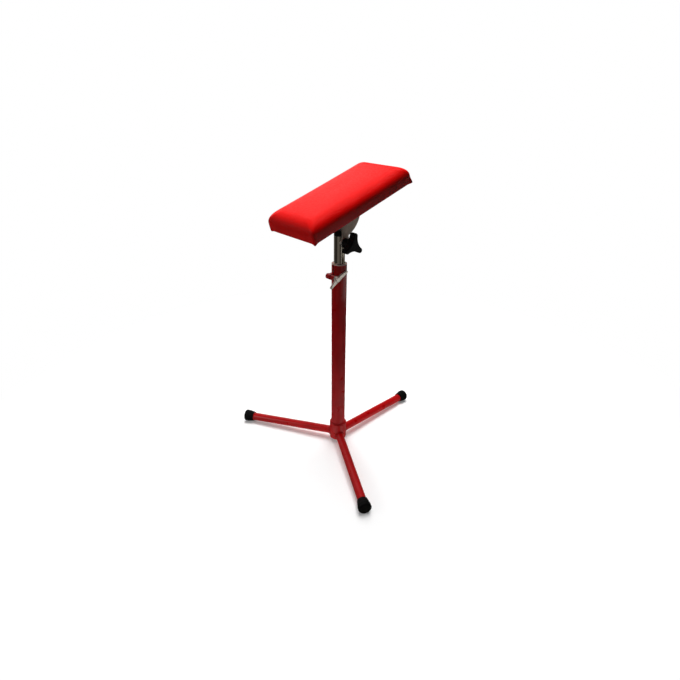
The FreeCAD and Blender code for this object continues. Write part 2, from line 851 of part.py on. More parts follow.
def pad_parts():
    board_level = vinyl_thickness + board_thickness
    above_all = pad_thickness + pad_crown + overrun
    inner_form = pad_form(vinyl_thickness)
    fasteners = fasteners_in_pad()
    board = inner_form.common(pad_slab(vinyl_thickness, board_level)).cut(fasteners)
    foam = inner_form.common(pad_slab(board_level, above_all)).cut(fasteners)
    cover = pad_form(0).cut(inner_form).cut(hem_opening(0, -overrun, vinyl_thickness))
    cloth_bottom = vinyl_thickness - dust_cloth_thickness
    dust_cover = hem_opening(dust_cloth_gap, cloth_bottom, vinyl_thickness)
    return {
        "pad_board": placed_pad(one_solid(board)),
        "pad_foam": placed_pad(one_solid(foam)),
        "pad_cover": placed_pad(one_solid(cover.cut(fasteners))),
        "pad_dust_cover": placed_pad(one_solid(dust_cover.cut(fasteners))),
        "pad_staples": placed_pad(Part.makeCompound(level_staples())),
    }


def all_parts():
    parts = {
        "hub_sleeve": hub_sleeve(),
        "weld_beads": weld_beads(),
        "column_tube": column_tube(),
        "column_bottom_plug": column_bottom_plug(),
        "column_bushing": column_bushing(),
        "clamp_barrel_plain": clamp_barrel(-1),
        "clamp_barrel_threaded": clamp_barrel(1),
        "clamp_washer": clamp_washer(),
        "clamp_handle": clamp_handle(),
        "clamp_screw": clamp_screw(),
        "guide_ring": guide_ring(),
        "guide_stop_collar": guide_stop_collar(),
        "post_bottom_plug": post_bottom_plug(),
        "post_tube": post_tube(),
        "post_top_plug": post_top_plug(),
        "pivot_sleeve": pivot_sleeve(),
        "pivot_stud": pivot_stud(),
        "pivot_saddle": pivot_saddle(),
        "tilt_bracket": tilt_bracket(),
        "bracket_base_plate": bracket_base_plate(),
        "bracket_screws": bracket_screws(),
        "bracket_tee_nuts": bracket_tee_nuts(),
        "knob_washer": knob_washer(),
        "tilt_knob": tilt_knob(),
        "tilt_knob_insert": tilt_knob_insert(),
    }
    for name, angle in leg_angles.items():
        parts["leg_tube_" + name] = leg_tube(angle)
        parts["foot_cap_" + name] = foot_cap(angle)
    parts.update(pad_parts())
    return parts


os.makedirs("parts", exist_ok=True)
for node, shape in all_parts().items():
    shape.translate(x_axis * -column_setback)
    shape.exportStep("parts/" + node + ".step")
    print(node, len(shape.Solids), "solids,", round(shape.Volume), "mm3, valid", shape.isValid())
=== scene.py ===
# %% [markdown]
# # An arm rest stand, dressed in Blender
# The stand's rigid pieces come ready made, at their real size and place.
# This lesson gives them their finishes, sews the soft pad that they carry, and lights and
# frames the whole as a shop would photograph it.
# Lengths are in metres, and Z points up.

import json
import math

import bpy
import numpy as np
from mathutils import Matrix, Vector, noise


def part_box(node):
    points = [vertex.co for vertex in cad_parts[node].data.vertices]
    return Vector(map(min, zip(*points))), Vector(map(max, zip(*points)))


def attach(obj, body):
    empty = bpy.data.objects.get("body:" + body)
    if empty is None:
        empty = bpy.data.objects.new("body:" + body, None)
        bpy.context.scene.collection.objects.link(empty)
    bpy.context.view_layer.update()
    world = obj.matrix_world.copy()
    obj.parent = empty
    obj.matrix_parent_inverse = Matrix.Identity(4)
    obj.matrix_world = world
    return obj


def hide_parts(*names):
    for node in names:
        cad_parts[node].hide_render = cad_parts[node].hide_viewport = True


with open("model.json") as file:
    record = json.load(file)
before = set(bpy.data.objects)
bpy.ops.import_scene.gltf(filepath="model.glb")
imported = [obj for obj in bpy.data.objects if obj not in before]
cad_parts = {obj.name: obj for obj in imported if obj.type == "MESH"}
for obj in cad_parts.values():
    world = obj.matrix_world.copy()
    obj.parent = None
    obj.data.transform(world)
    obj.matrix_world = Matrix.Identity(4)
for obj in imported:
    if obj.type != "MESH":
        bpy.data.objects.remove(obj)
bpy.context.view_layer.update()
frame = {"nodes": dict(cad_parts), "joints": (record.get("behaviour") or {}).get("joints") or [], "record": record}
nodes = frame["nodes"]
MM = 0.001

# %% [markdown]
# ## The camera
# The photograph looks down on the stand from about the height of a standing person's waist.
# The camera is placed first, because every later choice is judged through it.
# Its heading, pitch and roll are given as a photographer would say them, and the three axes
# of its frame are worked out from them.

# %% Camera
IMAGE_WIDTH_PX = 680
FOCAL_LENGTH_PX = 483.14
SENSOR_MM = 36.0
CAMERA_PLACE = Vector((-0.92998, -0.91127, 1.01591))
CAMERA_HEADING = Vector((0.68696, 0.72669, 0.0)).normalized()
CAMERA_PITCH = math.radians(27.71)
CAMERA_ROLL = math.radians(0.57)

level_right = Vector((CAMERA_HEADING.y, -CAMERA_HEADING.x, 0.0))
forward = CAMERA_HEADING * math.cos(CAMERA_PITCH) - Vector((0, 0, math.sin(CAMERA_PITCH)))
level_up = level_right.cross(forward)
camera_x = level_right * math.cos(CAMERA_ROLL) + level_up * math.sin(CAMERA_ROLL)
camera_y = level_up * math.cos(CAMERA_ROLL) - level_right * math.sin(CAMERA_ROLL)

camera = bpy.data.objects.new("camera", bpy.data.cameras.new("camera"))
camera.data.sensor_width = SENSOR_MM
camera.data.lens = FOCAL_LENGTH_PX * SENSOR_MM / IMAGE_WIDTH_PX
camera.matrix_world = Matrix.LocRotScale(
    CAMERA_PLACE, Matrix((camera_x, camera_y, -forward)).transposed(), None
)
bpy.context.scene.collection.objects.link(camera)
bpy.context.scene.camera = camera
print("lens", round(camera.data.lens, 2), "mm")

# %% [markdown]
# ## Nodes in one line each
# A material is a small graph. One function adds a node, sets its properties, and fills each
# input with a value or with a link from another node's output.
# Colours are written as the eye meets them on a screen, in sRGB, and one function turns
# them to the linear values that the renderer counts in.

# %% Node helper
def linear(hex_colour):
    """An sRGB colour such as #c8101c as linear red, green, blue and alpha."""
    shares = [int(hex_colour[i : i + 2], 16) / 255 for i in (1, 3, 5)]
    return [s / 12.92 if s <= 0.04045 else ((s + 0.055) / 1.055) ** 2.4 for s in shares] + [1.0]


def add(tree, kind, inputs=None, **settings):
    """One node: settings are its properties, and inputs are values or sockets to link."""
    node = tree.nodes.new(kind)
    for name, value in settings.items():
        setattr(node, name, value)
    for name, value in (inputs or {}).items():
        if isinstance(value, bpy.types.NodeSocket):
            tree.links.new(value, node.inputs[name])
        else:
            node.inputs[name].default_value = value
    return node


print("enamel red is", [round(v, 3) for v in linear("#c8101c")])

# %% [markdown]
# ## The room
# A shop photograph stands on pure white, and only the soft shadow of the feet tells that
# there is a floor.
# The floor takes light and shadow as matt paper does, on a table that glows faintly from
# below: the glow lifts the pad's broad shadow away and leaves the close ones. Far from the
# stand it fades into the white of the backdrop.
# The stand itself meets a sheet that is white and glowing near its foot and grey further
# out, so the low tubes are lit from below and little light comes back up under the pad.

# %% Floor and backdrop
FLOOR_HALF = 6.0
PAPER = "#f8f8f8"
GLOW = 0.15
FOOT_GLOW = 1.2
FOOT_GLOW_FROM = 0.05
FOOT_GLOW_TO = 0.45
BOUNCE_NEAR = 0.12
BOUNCE_FAR = 0.70
BOUNCE_WHITE = 1.0
BOUNCE_GREY = 0.30
FADE_FROM = 0.75
FADE_TO = 1.30


def mesh_object(name, points, faces, smooth=True):
    """A mesh from points and faces, linked to the scene."""
    mesh = bpy.data.meshes.new(name)
    mesh.from_pydata([tuple(p) for p in points], [], faces)
    mesh.update()
    for polygon in mesh.polygons:
        polygon.use_smooth = smooth
    made = bpy.data.objects.new(name, mesh)
    bpy.context.scene.collection.objects.link(made)
    return made


def new_tree(owner):
    """An empty node tree on a material or a world."""
    owner.use_nodes = True
    owner.node_tree.nodes.clear()
    return owner.node_tree


def seen_ray(tree):
    """1 for rays that come from the camera, a mirror or a glass."""
    path = add(tree, "ShaderNodeLightPath")
    first = add(tree, "ShaderNodeMath", {0: path.outputs["Is Camera Ray"],
                1: path.outputs["Is Glossy Ray"]}, operation="MAXIMUM")
    second = add(tree, "ShaderNodeMath", {0: first.outputs[0],
                 1: path.outputs["Is Transmission Ray"]}, operation="MAXIMUM")
    return second.outputs[0]


def floor_material():
    """Paper that glows for the camera, a second sheet for bounced light, and white far off."""
    material = bpy.data.materials.new("white_paper_floor")
    tree = new_tree(material)
    place = add(tree, "ShaderNodeTexCoord").outputs["Object"]
    reach = add(tree, "ShaderNodeVectorMath", {0: place}, operation="LENGTH").outputs["Value"]
    far = add(tree, "ShaderNodeMapRange", {"Value": reach, "From Min": FADE_FROM,
              "From Max": FADE_TO}, interpolation_type="SMOOTHSTEP").outputs["Result"]
    paper = add(tree, "ShaderNodeBsdfDiffuse", {"Color": linear(PAPER)})
    glow = add(tree, "ShaderNodeEmission", {"Strength": GLOW})
    glowing = add(tree, "ShaderNodeAddShader", {0: paper.outputs[0], 1: glow.outputs[0]})
    bounce = add(tree, "ShaderNodeMapRange", {"Value": reach, "From Min": BOUNCE_NEAR,
                 "From Max": BOUNCE_FAR, "To Min": BOUNCE_WHITE, "To Max": BOUNCE_GREY})
    sheet = add(tree, "ShaderNodeBsdfDiffuse", {"Color": bounce.outputs["Result"]})
    foot = add(tree, "ShaderNodeMapRange", {"Value": reach, "From Min": FOOT_GLOW_FROM,
               "From Max": FOOT_GLOW_TO, "To Min": FOOT_GLOW, "To Max": 0.0})
    foot_light = add(tree, "ShaderNodeEmission", {"Strength": foot.outputs["Result"]})
    lit_sheet = add(tree, "ShaderNodeAddShader", {0: sheet.outputs[0], 1: foot_light.outputs[0]})
    camera_ray = add(tree, "ShaderNodeLightPath").outputs["Is Camera Ray"]
    near = add(tree, "ShaderNodeMixShader", {"Fac": camera_ray, 1: lit_sheet.outputs[0],
               2: glowing.outputs[0]})
    white = add(tree, "ShaderNodeEmission", {"Strength": seen_ray(tree)})
    mixed = add(tree, "ShaderNodeMixShader", {"Fac": far, 1: near.outputs[0], 2: white.outputs[0]})
    add(tree, "ShaderNodeOutputMaterial", {"Surface": mixed.outputs[0]})
    return material


SQUARE = ((-1, -1), (1, -1), (1, 1), (-1, 1))
floor_points = [(FLOOR_HALF * sx, FLOOR_HALF * sy, 0) for sx, sy in SQUARE]
floor = mesh_object("floor", floor_points, [(0, 1, 2, 3)])
floor.data.materials.append(floor_material())
print("floor", 2 * FLOOR_HALF, "m across")

# %% [markdown]
# ## What shiny things see
# A polished tube shows its surroundings, drawn out into upright streaks. Seen from above,
# an upright tube mirrors the floor around the stand, so a photographer lays dark mats
# there, with narrow bright gaps, to draw the tube's edges.
# The mats here are wedges round the column that only mirrors see. Each is given by two
# bearings from the side that faces the camera, where it begins and ends as counted from
# the column, and a grey.
# The lower a piece stands, the nearer to the column lies the floor that it mirrors, so
# the enamel of the column, the wing handle and the bracket each have a mat of their own.

# %% Dark mats and world
MAT_REACH = 4.5
MAT_LIFT = 0.2 * MM
MATS_PER_LIFT = 8
LEAST_MAT_STEPS = 8
DEGREES_PER_STEP = 8
WHOLE = (0.0, MAT_REACH)
COLUMN_AXIS = sum(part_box("column_tube"), Vector()) / 2
MATS = (
    (-180, -140, WHOLE, "#8a847c"),
    (-140, -96, WHOLE, "#55504a"),
    (-96, -52, WHOLE, "#2b2722"),
    (-52, -38, WHOLE, "#4a443d"),
    (-38, -12, WHOLE, "#6e675f"),
    (-12, 18, WHOLE, "#5a534b"),
    (18, 33, WHOLE, "#27231e"),
    (33, 44, WHOLE, "#d8d2c8"),
    (44, 78, WHOLE, "#2b2620"),
    (78, 130, WHOLE, "#544d44"),
    (130, 158, WHOLE, "#3a342c"),
    (158, 180, WHOLE, "#c8c2ba"),
    (-180, 180, (0.38, 1.15), "#0c0a0a"),
    (55, 125, (1.18, 1.62), "#ffffff"),
    (70, 105, (1.95, 2.45), "#d8d0c0"),
)


def studio_card(name, points, grey, faces=((0, 1, 2, 3),), mirrors=False, bounce=False):
    """A flat card of one grey that only mirrors see, or that only bounced light meets."""
    made = mesh_object(name, points, faces)
    card = bpy.data.materials.new(name)
    tree = new_tree(card)
    glow = add(tree, "ShaderNodeEmission", {"Color": linear(grey)})
    add(tree, "ShaderNodeOutputMaterial", {"Surface": glow.outputs[0]})
    made.data.materials.append(card)
    made.visible_camera = False
    made.visible_shadow = False
    made.visible_transmission = False
    made.visible_glossy = mirrors
    made.visible_diffuse = bounce


def lay_mat(number, start, end, reach, grey):
    """A wedge of matt card on the floor, which only mirrors see; later ones lie on top."""
    towards_camera = math.atan2(-CAMERA_HEADING.y, -CAMERA_HEADING.x)
    steps = LEAST_MAT_STEPS + int(end - start) // DEGREES_PER_STEP
    turns = [
        towards_camera + math.radians(start + (end - start) * k / steps)
        for k in range(steps + 1)
    ]
    lift = MAT_LIFT * (1 + number / MATS_PER_LIFT)
    points = [
        (COLUMN_AXIS.x + far * math.cos(turn), COLUMN_AXIS.y + far * math.sin(turn), lift)
        for far in reach
        for turn in turns
    ]
    faces = [(k, k + 1, steps + 2 + k, steps + 1 + k) for k in range(steps)]
    studio_card("mat_%02d" % number, points, grey, faces, mirrors=True)


for number, mat in enumerate(MATS):
    lay_mat(number, *mat)

AMBIENT = 0.11
MIRRORED_SKY = 0.06
world = bpy.data.worlds.new("white_studio")
bpy.context.scene.world = world
tree = new_tree(world)
ray = add(tree, "ShaderNodeLightPath")
soft_light = add(tree, "ShaderNodeBackground", {"Color": linear("#ffffff"), "Strength": AMBIENT})
sky = add(tree, "ShaderNodeBackground", {"Color": linear("#ffffff"), "Strength": MIRRORED_SKY})
backdrop = add(tree, "ShaderNodeBackground", {"Color": linear("#ffffff"), "Strength": 1.0})
unseen = add(tree, "ShaderNodeMixShader", {"Fac": ray.outputs["Is Glossy Ray"],
             1: soft_light.outputs[0], 2: sky.outputs[0]})
both = add(tree, "ShaderNodeMixShader", {"Fac": ray.outputs["Is Camera Ray"],
           1: unseen.outputs[0], 2: backdrop.outputs[0]})
add(tree, "ShaderNodeOutputWorld", {"Surface": both.outputs[0]})
print("mats", len(MATS))

# %% [markdown]
# ## The lamps
# One large softbox hangs over the stand, a little behind it, so each leg's shadow lies
# soft and close beside it. It makes the pad's top bright and leaves the sides that face
# the camera dark, which is what gives the pad its roundness.
# A weaker lamp from behind and a weak one at the camera's left model the tubes.
# Two cards finish the set: a pale one far behind, which only mirrors see, lays a sheen on
# the pad's top, and a black flag beside the pad keeps bounced light off its near side.

# %% Lamps
LAMP_AIM_HEIGHT = 0.4


def seen_from_camera(right, ahead, up):
    """A point given by its distances right of, beyond and above the column's foot."""
    foot = Vector((COLUMN_AXIS.x, COLUMN_AXIS.y, 0))
    return foot + level_right * right + CAMERA_HEADING * ahead + Vector((0, 0, up))


def softbox(name, place, width, height, power, mirrored=False):
    """A rectangular lamp that looks at the stand."""
    data = bpy.data.lights.new(name, "AREA")
    data.shape = "RECTANGLE"
    data.size = width
    data.size_y = height
    data.energy = power
    lamp = bpy.data.objects.new(name, data)
    towards = (Vector((COLUMN_AXIS.x, COLUMN_AXIS.y, LAMP_AIM_HEIGHT)) - place).normalized()
    lamp.matrix_world = Matrix.LocRotScale(place, towards.to_track_quat("-Z", "Y"), None)
    lamp.visible_glossy = mirrored
    bpy.context.scene.collection.objects.link(lamp)
    return lamp


key = softbox(
    "key", seen_from_camera(right=0.1, ahead=0.8, up=3.0), width=2.0, height=2.0, power=108
)
back = softbox(
    "back", seen_from_camera(right=-0.3, ahead=2.2, up=2.2), width=1.6, height=1.0, power=15
)
fill = softbox(
    "fill", seen_from_camera(right=-2.0, ahead=-1.2, up=1.5), width=1.2, height=1.6, power=11,
    mirrored=True,
)
for lamp in (key, back, fill):
    print(lamp.name, [round(v, 2) for v in lamp.location])


def upright_card(name, bearing, distance, low, high, half_width, grey, **seen):
    """A card square to a bearing from the column, counted right of straight ahead."""
    turn = math.radians(bearing)
    out = level_right * math.sin(turn) + CAMERA_HEADING * math.cos(turn)
    side = Vector((0, 0, 1)).cross(out)
    foot = Vector((COLUMN_AXIS.x, COLUMN_AXIS.y, 0)) + out * distance
    points = [
        foot + side * (half_width * s) + Vector((0, 0, z))
        for s, z in ((-1, low), (1, low), (1, high), (-1, high))
    ]
    studio_card(name, points, grey, **seen)


upright_card(
    "far_card", bearing=-28, distance=3.0, low=0.9, high=4.6, half_width=1.5,
    grey="#dedede", mirrors=True,
)
upright_card(
    "black_flag", bearing=136.6, distance=0.17, low=0.66, high=1.0, half_width=0.3,
    grey="#000000", bounce=True,
)

# %% [markdown]
# ## Enamel
# The column, the hub and the legs are steel tube in a stoved gloss enamel. Sprayed enamel
# is smooth but not flat: it dries with a faint orange peel, a few millimetres from crest
# to crest, which makes a reflection tremble.
# Paint is a coloured body under a clear skin, so the colour sits in the base and a coat
# carries the gloss.

# %% Gloss red enamel
def new_material(name, colour, roughness, **shader_inputs):
    """A material with one shader, its tree and the place on the object that patterns use."""
    material = bpy.data.materials.new(name)
    tree = new_tree(material)
    shader = add(tree, "ShaderNodeBsdfPrincipled", {"Base Color": linear(colour),
                 "Roughness": roughness})
    for key_name, value in shader_inputs.items():
        shader.inputs[key_name.replace("_", " ")].default_value = value
    add(tree, "ShaderNodeOutputMaterial", {"Surface": shader.outputs[0]})
    place = add(tree, "ShaderNodeTexCoord").outputs["Object"]
    return material, tree, shader, place


def pattern(tree, place, size, detail=2.0, stretch=(1, 1, 1)):
    """Soft random values whose crests are about size apart, drawn out by stretch."""
    scaled = add(tree, "ShaderNodeMapping", {"Vector": place,
                 "Scale": [1 / (size * s) for s in stretch]})
    return add(tree, "ShaderNodeTexNoise", {"Vector": scaled.outputs[0], "Scale": 1.0,
               "Detail": detail}).outputs["Fac"]


def between(tree, value, low, high, from_low=0.3, from_high=0.7):
    """A pattern's values spread between two numbers."""
    return add(tree, "ShaderNodeMapRange", {"Value": value, "From Min": from_low,
               "From Max": from_high, "To Min": low, "To Max": high}).outputs["Result"]


def tinted(tree, value, dark, light):
    """A pattern's values as a colour between two."""
    return add(tree, "ShaderNodeMix", {"Factor": value, 6: linear(dark), 7: linear(light)},
               data_type="RGBA").outputs[2]


def relief(tree, height, depth, under=None):
    """A bump of a real depth."""
    bump = add(tree, "ShaderNodeBump", {"Height": height, "Distance": depth})
    if under is not None:
        tree.links.new(under, bump.inputs["Normal"])
    return bump.outputs[0]


def soft_edges(tree, radius):
    """A normal that rounds the edges a little, as paint, plating and tumbling do."""
    return add(tree, "ShaderNodeBevel", {"Radius": radius}, samples=4).outputs[0]


def enamel():
    material, tree, shader, place = new_material(
        "stoved_gloss_enamel_red", "#a60408", 0.30,
        Specular_IOR_Level=0.25, Coat_Weight=0.35, Coat_Roughness=0.06,
    )
    # Orange peel of sprayed paint: crests 2.5 mm apart and 0.02 mm high
    peel = pattern(tree, place, 2.5 * MM)
    cloud = pattern(tree, place, 60 * MM)
    tree.links.new(tinted(tree, between(tree, cloud, 0, 1), "#9e0306", "#ae060b"),
                   shader.inputs["Base Color"])
    wavy = relief(tree, peel, 0.02 * MM)
    tree.links.new(wavy, shader.inputs["Normal"])
    tree.links.new(wavy, shader.inputs["Coat Normal"])
    # Handling dulls the skin in patches
    haze = pattern(tree, place, 25 * MM, 4.0)
    tree.links.new(between(tree, haze, 0.26, 0.40), shader.inputs["Roughness"])
    return material


FINISHES = {"red_enamel": enamel()}
print("enamel nodes", len(FINISHES["red_enamel"].node_tree.nodes))

# %% [markdown]
# ## Chrome and bare steel
# The post is a polished tube with bright chromium on nickel. A metal has no colour of its
# own beneath the mirror, so its base colour is the mirror's tint. What makes it look real
# is the faint streaking of the last polish, drawn out along the tube, and a breath of
# haze where hands have slid it.
# The tilt bracket is cut and bent from rolled sheet with a thin dull plating. Rolling
# leaves fine lines along the sheet, and the plating clouds them.

# %% Bright chrome and rolled sheet
def chrome():
    material, tree, shader, place = new_material(
        "bright_polished_chromium", "#c9c6c0", 0.06, Metallic=1.0
    )
    # Polishing lines run along the tube: 1.2 mm apart here, so that they show
    lines = pattern(tree, place, 1.2 * MM, 3.0, stretch=(1, 1, 40))
    haze = pattern(tree, place, 18 * MM, 4.0)
    tree.links.new(between(tree, haze, 0.04, 0.14), shader.inputs["Roughness"])
    normal = relief(tree, lines, 0.004 * MM, soft_edges(tree, 0.3 * MM))
    tree.links.new(normal, shader.inputs["Normal"])
    return material


def rolled_sheet():
    material, tree, shader, place = new_material(
        "rolled_steel_sheet_dull_zinc", "#c6bcac", 0.48, Metallic=0.25
    )
    # Rolling lines along the sheet, 0.8 mm apart, under clouds of plating 14 mm across
    lines = pattern(tree, place, 0.8 * MM, 3.0, stretch=(30, 1, 30))
    clouds = pattern(tree, place, 14 * MM, 5.0)
    specks = pattern(tree, place, 1.6 * MM, 2.0)
    tree.links.new(tinted(tree, between(tree, clouds, 0, 1), "#b6ab9b", "#d2cabc"),
                   shader.inputs["Base Color"])
    tree.links.new(between(tree, specks, 0.40, 0.58), shader.inputs["Roughness"])
    normal = relief(tree, lines, 0.03 * MM, soft_edges(tree, 0.4 * MM))
    tree.links.new(normal, shader.inputs["Normal"])
    return material


FINISHES["chromed_steel"] = chrome()
FINISHES["bare_steel_sheet"] = rolled_sheet()
print("finishes so far", len(FINISHES))

# %% [markdown]
# ## Plated, cast and turned small parts
# Screws, nuts and washers are bright zinc: cool, a little cloudy, never mirror smooth.
# The wing handle is die cast zinc, tumbled and plated, with the fine dimpling of a
# casting. The thread insert in the knob is turned brass.

# %% Fastener metals
def small_metal(name, colour, dark, light, roughness, grain, depth, metallic=1.0):
    """A plated or cast metal with clouds of tint and a fine grain."""
    material, tree, shader, place = new_material(name, colour, roughness, Metallic=metallic)
    clouds = pattern(tree, place, 5 * MM, 4.0)
    tree.links.new(tinted(tree, between(tree, clouds, 0, 1), dark, light),
                   shader.inputs["Base Color"])
    fine = pattern(tree, place, grain, 3.0)
    tree.links.new(between(tree, fine, roughness - 0.06, roughness + 0.08),
                   shader.inputs["Roughness"])
    normal = relief(tree, fine, depth, soft_edges(tree, 0.35 * MM))
    tree.links.new(normal, shader.inputs["Normal"])
    return material


def zinc_plate():
    # Barrel plating leaves grains too fine to see, drawn here 0.7 mm apart
    return small_metal("barrel_zinc_plated_steel", "#b9bab6", "#a5a7a5", "#c9c8c0",
                       0.34, 0.7 * MM, 0.012 * MM)


def cast_zinc():
    # A tumbled casting has shallow dimples about 1.1 mm apart, and a pale skin over them
    return small_metal("die_cast_zinc_tumbled", "#f0e8dc", "#e2d9cc", "#f8f2e8",
                       0.28, 1.1 * MM, 0.03 * MM, metallic=0.7)


def brass():
    # Turning lines are finer than this 0.6 mm grain
    return small_metal("turned_brass", "#d9b566", "#c79f4e", "#e3c27a",
                       0.28, 0.6 * MM, 0.01 * MM)


FINISHES["zinc_plated_steel"] = zinc_plate()
FINISHES["cast_zinc"] = cast_zinc()
FINISHES["brass"] = brass()
print("finishes so far", len(FINISHES))

# %% [markdown]
# ## Rubber, moulded plastic and nylon
# The feet are black rubber caps, matt, with a little dust in the pores. The star knob is
# glass filled nylon out of a spark eroded mould, whose even pebbling scatters the light
# into a satin. The bushing is natural nylon, the colour of old ivory, and light enters it
# a little before it comes out again. Its colour here is drawn pinker than ivory: a painted
# reflection of the red enamel round it.

# %% Rubber and plastics
def rubber():
    material, tree, shader, place = new_material(
        "moulded_black_rubber", "#0a0a0a", 0.6, Specular_IOR_Level=0.18
    )
    pores = pattern(tree, place, 0.9 * MM, 4.0)
    dust = pattern(tree, place, 9 * MM, 5.0)
    tree.links.new(tinted(tree, between(tree, dust, 0, 1, 0.35, 0.75), "#060606", "#0f0f0e"),
                   shader.inputs["Base Color"])
    tree.links.new(between(tree, pores, 0.5, 0.74), shader.inputs["Roughness"])
    normal = relief(tree, pores, 0.08 * MM, soft_edges(tree, 0.5 * MM))
    tree.links.new(normal, shader.inputs["Normal"])
    return material


def moulded_nylon():
    material, tree, shader, place = new_material(
        "glass_filled_nylon_black", "#050505", 0.5, Specular_IOR_Level=0.12
    )
    # Spark erosion pebbles the mould about every 0.8 mm here, coarser than life to show
    pebbles = add(tree, "ShaderNodeTexVoronoi", {"Vector": place, "Scale": 1 / (0.8 * MM)},
                  feature="SMOOTH_F1")
    rub = pattern(tree, place, 7 * MM, 3.0)
    tree.links.new(between(tree, rub, 0.42, 0.58), shader.inputs["Roughness"])
    tree.links.new(tinted(tree, between(tree, rub, 0, 1), "#040404", "#080807"),
                   shader.inputs["Base Color"])
    normal = relief(tree, pebbles.outputs["Distance"], 0.05 * MM, soft_edges(tree, 0.5 * MM))
    tree.links.new(normal, shader.inputs["Normal"])
    return material


def natural_nylon():
    # The pink in the nylon's base colour is a painted reflection of the red enamel round it.
    material, tree, shader, place = new_material(
        "natural_nylon_turned_red_reflection", "#cfb2a6", 0.38, Subsurface_Weight=0.25, Subsurface_Scale=2 * MM
    )
    lines = pattern(tree, place, 0.5 * MM, 2.0, stretch=(30, 30, 1))
    # Stains vary the tone at random between two pinks, both holding the painted red reflection.
    stain_and_red_reflection = pattern(tree, place, 8 * MM, 4.0)
    tree.links.new(tinted(tree, between(tree, stain_and_red_reflection, 0, 1), "#c2a498", "#dcc2b6"),
                   shader.inputs["Base Color"])
    normal = relief(tree, lines, 0.02 * MM, soft_edges(tree, 0.4 * MM))
    tree.links.new(normal, shader.inputs["Normal"])
    return material


FINISHES["black_rubber"] = rubber()
FINISHES["black_plastic"] = moulded_nylon()
FINISHES["nylon"] = natural_nylon()
print("finishes so far", len(FINISHES))

# %% [markdown]
# ## Vinyl, board and dust cloth
# The pad is covered with polyurethane vinyl: a tinted skin pressed with a shallow leather
# grain, with a satin lacquer over it. Under the pad, a black non-woven cloth keeps the
# dust out; hot rollers bond it in a grid of tiny points. Between them lies the board.

# %% Soft goods and wood
def vinyl():
    material, tree, shader, place = new_material(
        "pressed_pu_vinyl_red", "#e00604", 0.45, Specular_IOR_Level=0.2
    )
    # The pressed grain has cells about 1.1 mm across and 0.03 mm deep
    cells = add(tree, "ShaderNodeTexVoronoi", {"Vector": place, "Scale": 1 / (1.1 * MM)},
                feature="DISTANCE_TO_EDGE")
    soft = pattern(tree, place, 6 * MM, 4.0)
    cloud = pattern(tree, place, 45 * MM, 2.0)
    tree.links.new(tinted(tree, between(tree, cloud, 0, 1), "#dc0503", "#e60906"),
                   shader.inputs["Base Color"])
    tree.links.new(between(tree, soft, 0.40, 0.52), shader.inputs["Roughness"])
    creased = relief(tree, soft, 0.10 * MM)
    normal = relief(tree, between(tree, cells.outputs["Distance"], 0, 1, 0.0, 0.2), 0.03 * MM,
                    creased)
    tree.links.new(normal, shader.inputs["Normal"])
    return material


def plywood():
    material, tree, shader, place = new_material("birch_plywood", "#c9a877", 0.62)
    grain = pattern(tree, place, 1.5 * MM, 5.0, stretch=(25, 1, 25))
    tree.links.new(tinted(tree, between(tree, grain, 0, 1), "#b08c5a", "#d6b98b"),
                   shader.inputs["Base Color"])
    tree.links.new(relief(tree, grain, 0.06 * MM), shader.inputs["Normal"])
    return material


def dust_cloth():
    material, tree, shader, place = new_material(
        "spunbond_black_cloth", "#161616", 0.85, Sheen_Weight=0.15
    )
    # Bond points sit 2 mm apart, and the fibres between them are drawn 0.5 mm thick
    points = add(tree, "ShaderNodeTexVoronoi", {"Vector": place, "Scale": 1 / (2 * MM),
                 "Randomness": 0.15})
    fibres = pattern(tree, place, 0.5 * MM, 4.0, stretch=(6, 1, 1))
    tree.links.new(tinted(tree, between(tree, fibres, 0, 1), "#0e0e0e", "#232323"),
                   shader.inputs["Base Color"])
    woolly = relief(tree, fibres, 0.06 * MM)
    tree.links.new(relief(tree, points.outputs["Distance"], 0.12 * MM, woolly),
                   shader.inputs["Normal"])
    return material


FINISHES["red_vinyl"] = vinyl()
FINISHES["plywood"] = plywood()
FINISHES["dust_cloth"] = dust_cloth()
print("finishes", sorted(FINISHES))

# %% [markdown]
# ## Dress the rigid pieces
# The record of the stand says which piece is made of which stuff. Each stuff has one
# material, made once and shared.

# %% Give each node its finish
def dress(piece, slot):
    """Give a piece the finish of its stuff, in place of the one it came with."""
    piece.data.materials.clear()
    piece.data.materials.append(FINISHES[slot])


dressed = 0
for subpart in frame["record"]["subparts"]:
    if subpart["material_slot"] in FINISHES:
        dress(nodes[subpart["node"]], subpart["material_slot"])
        dressed += 1
print("nodes with a finish", dressed)

# %% [markdown]
# ## The pad's place
# The pad is drawn level and centred, with its underside at height zero, and then tilted
# about the pivot and set on the bracket. Working level keeps the sewing simple.

# %% Pad placement
PAD_TILT = math.radians(17.1)
PAD_UNDERSIDE = 83.4 * MM
PAD_OFFSET = 34.6 * MM
PAD_LENGTH = 350 * MM
PAD_WIDTH = 175 * MM
PAD_THICKNESS = 50 * MM
pivot = Vector(next(j["pos_m"] for j in frame["joints"] if j["name"] == "pad_tilt"))
pad_matrix = (
    Matrix.Translation(pivot)
    @ Matrix.Rotation(-PAD_TILT, 4, "Y")
    @ Matrix.Translation((PAD_OFFSET, 0, PAD_UNDERSIDE))
)
print("pivot", [round(v, 4) for v in pivot])

# %% [markdown]
# ## The pad's skin
# The cover is one sheet of vinyl, laid over the foam, pulled down the sides and stapled
# under the board. Its section is a list of steps from the hem's raw edge, round the
# board, up the side and over the foam's shoulder. Each step gives how far inside the
# pad's outline it lies, how high, and how round its corners are.
# A rounded rectangle is drawn at every step, and the top is filled with a grid, so that
# every crease made later has even quads to bend.

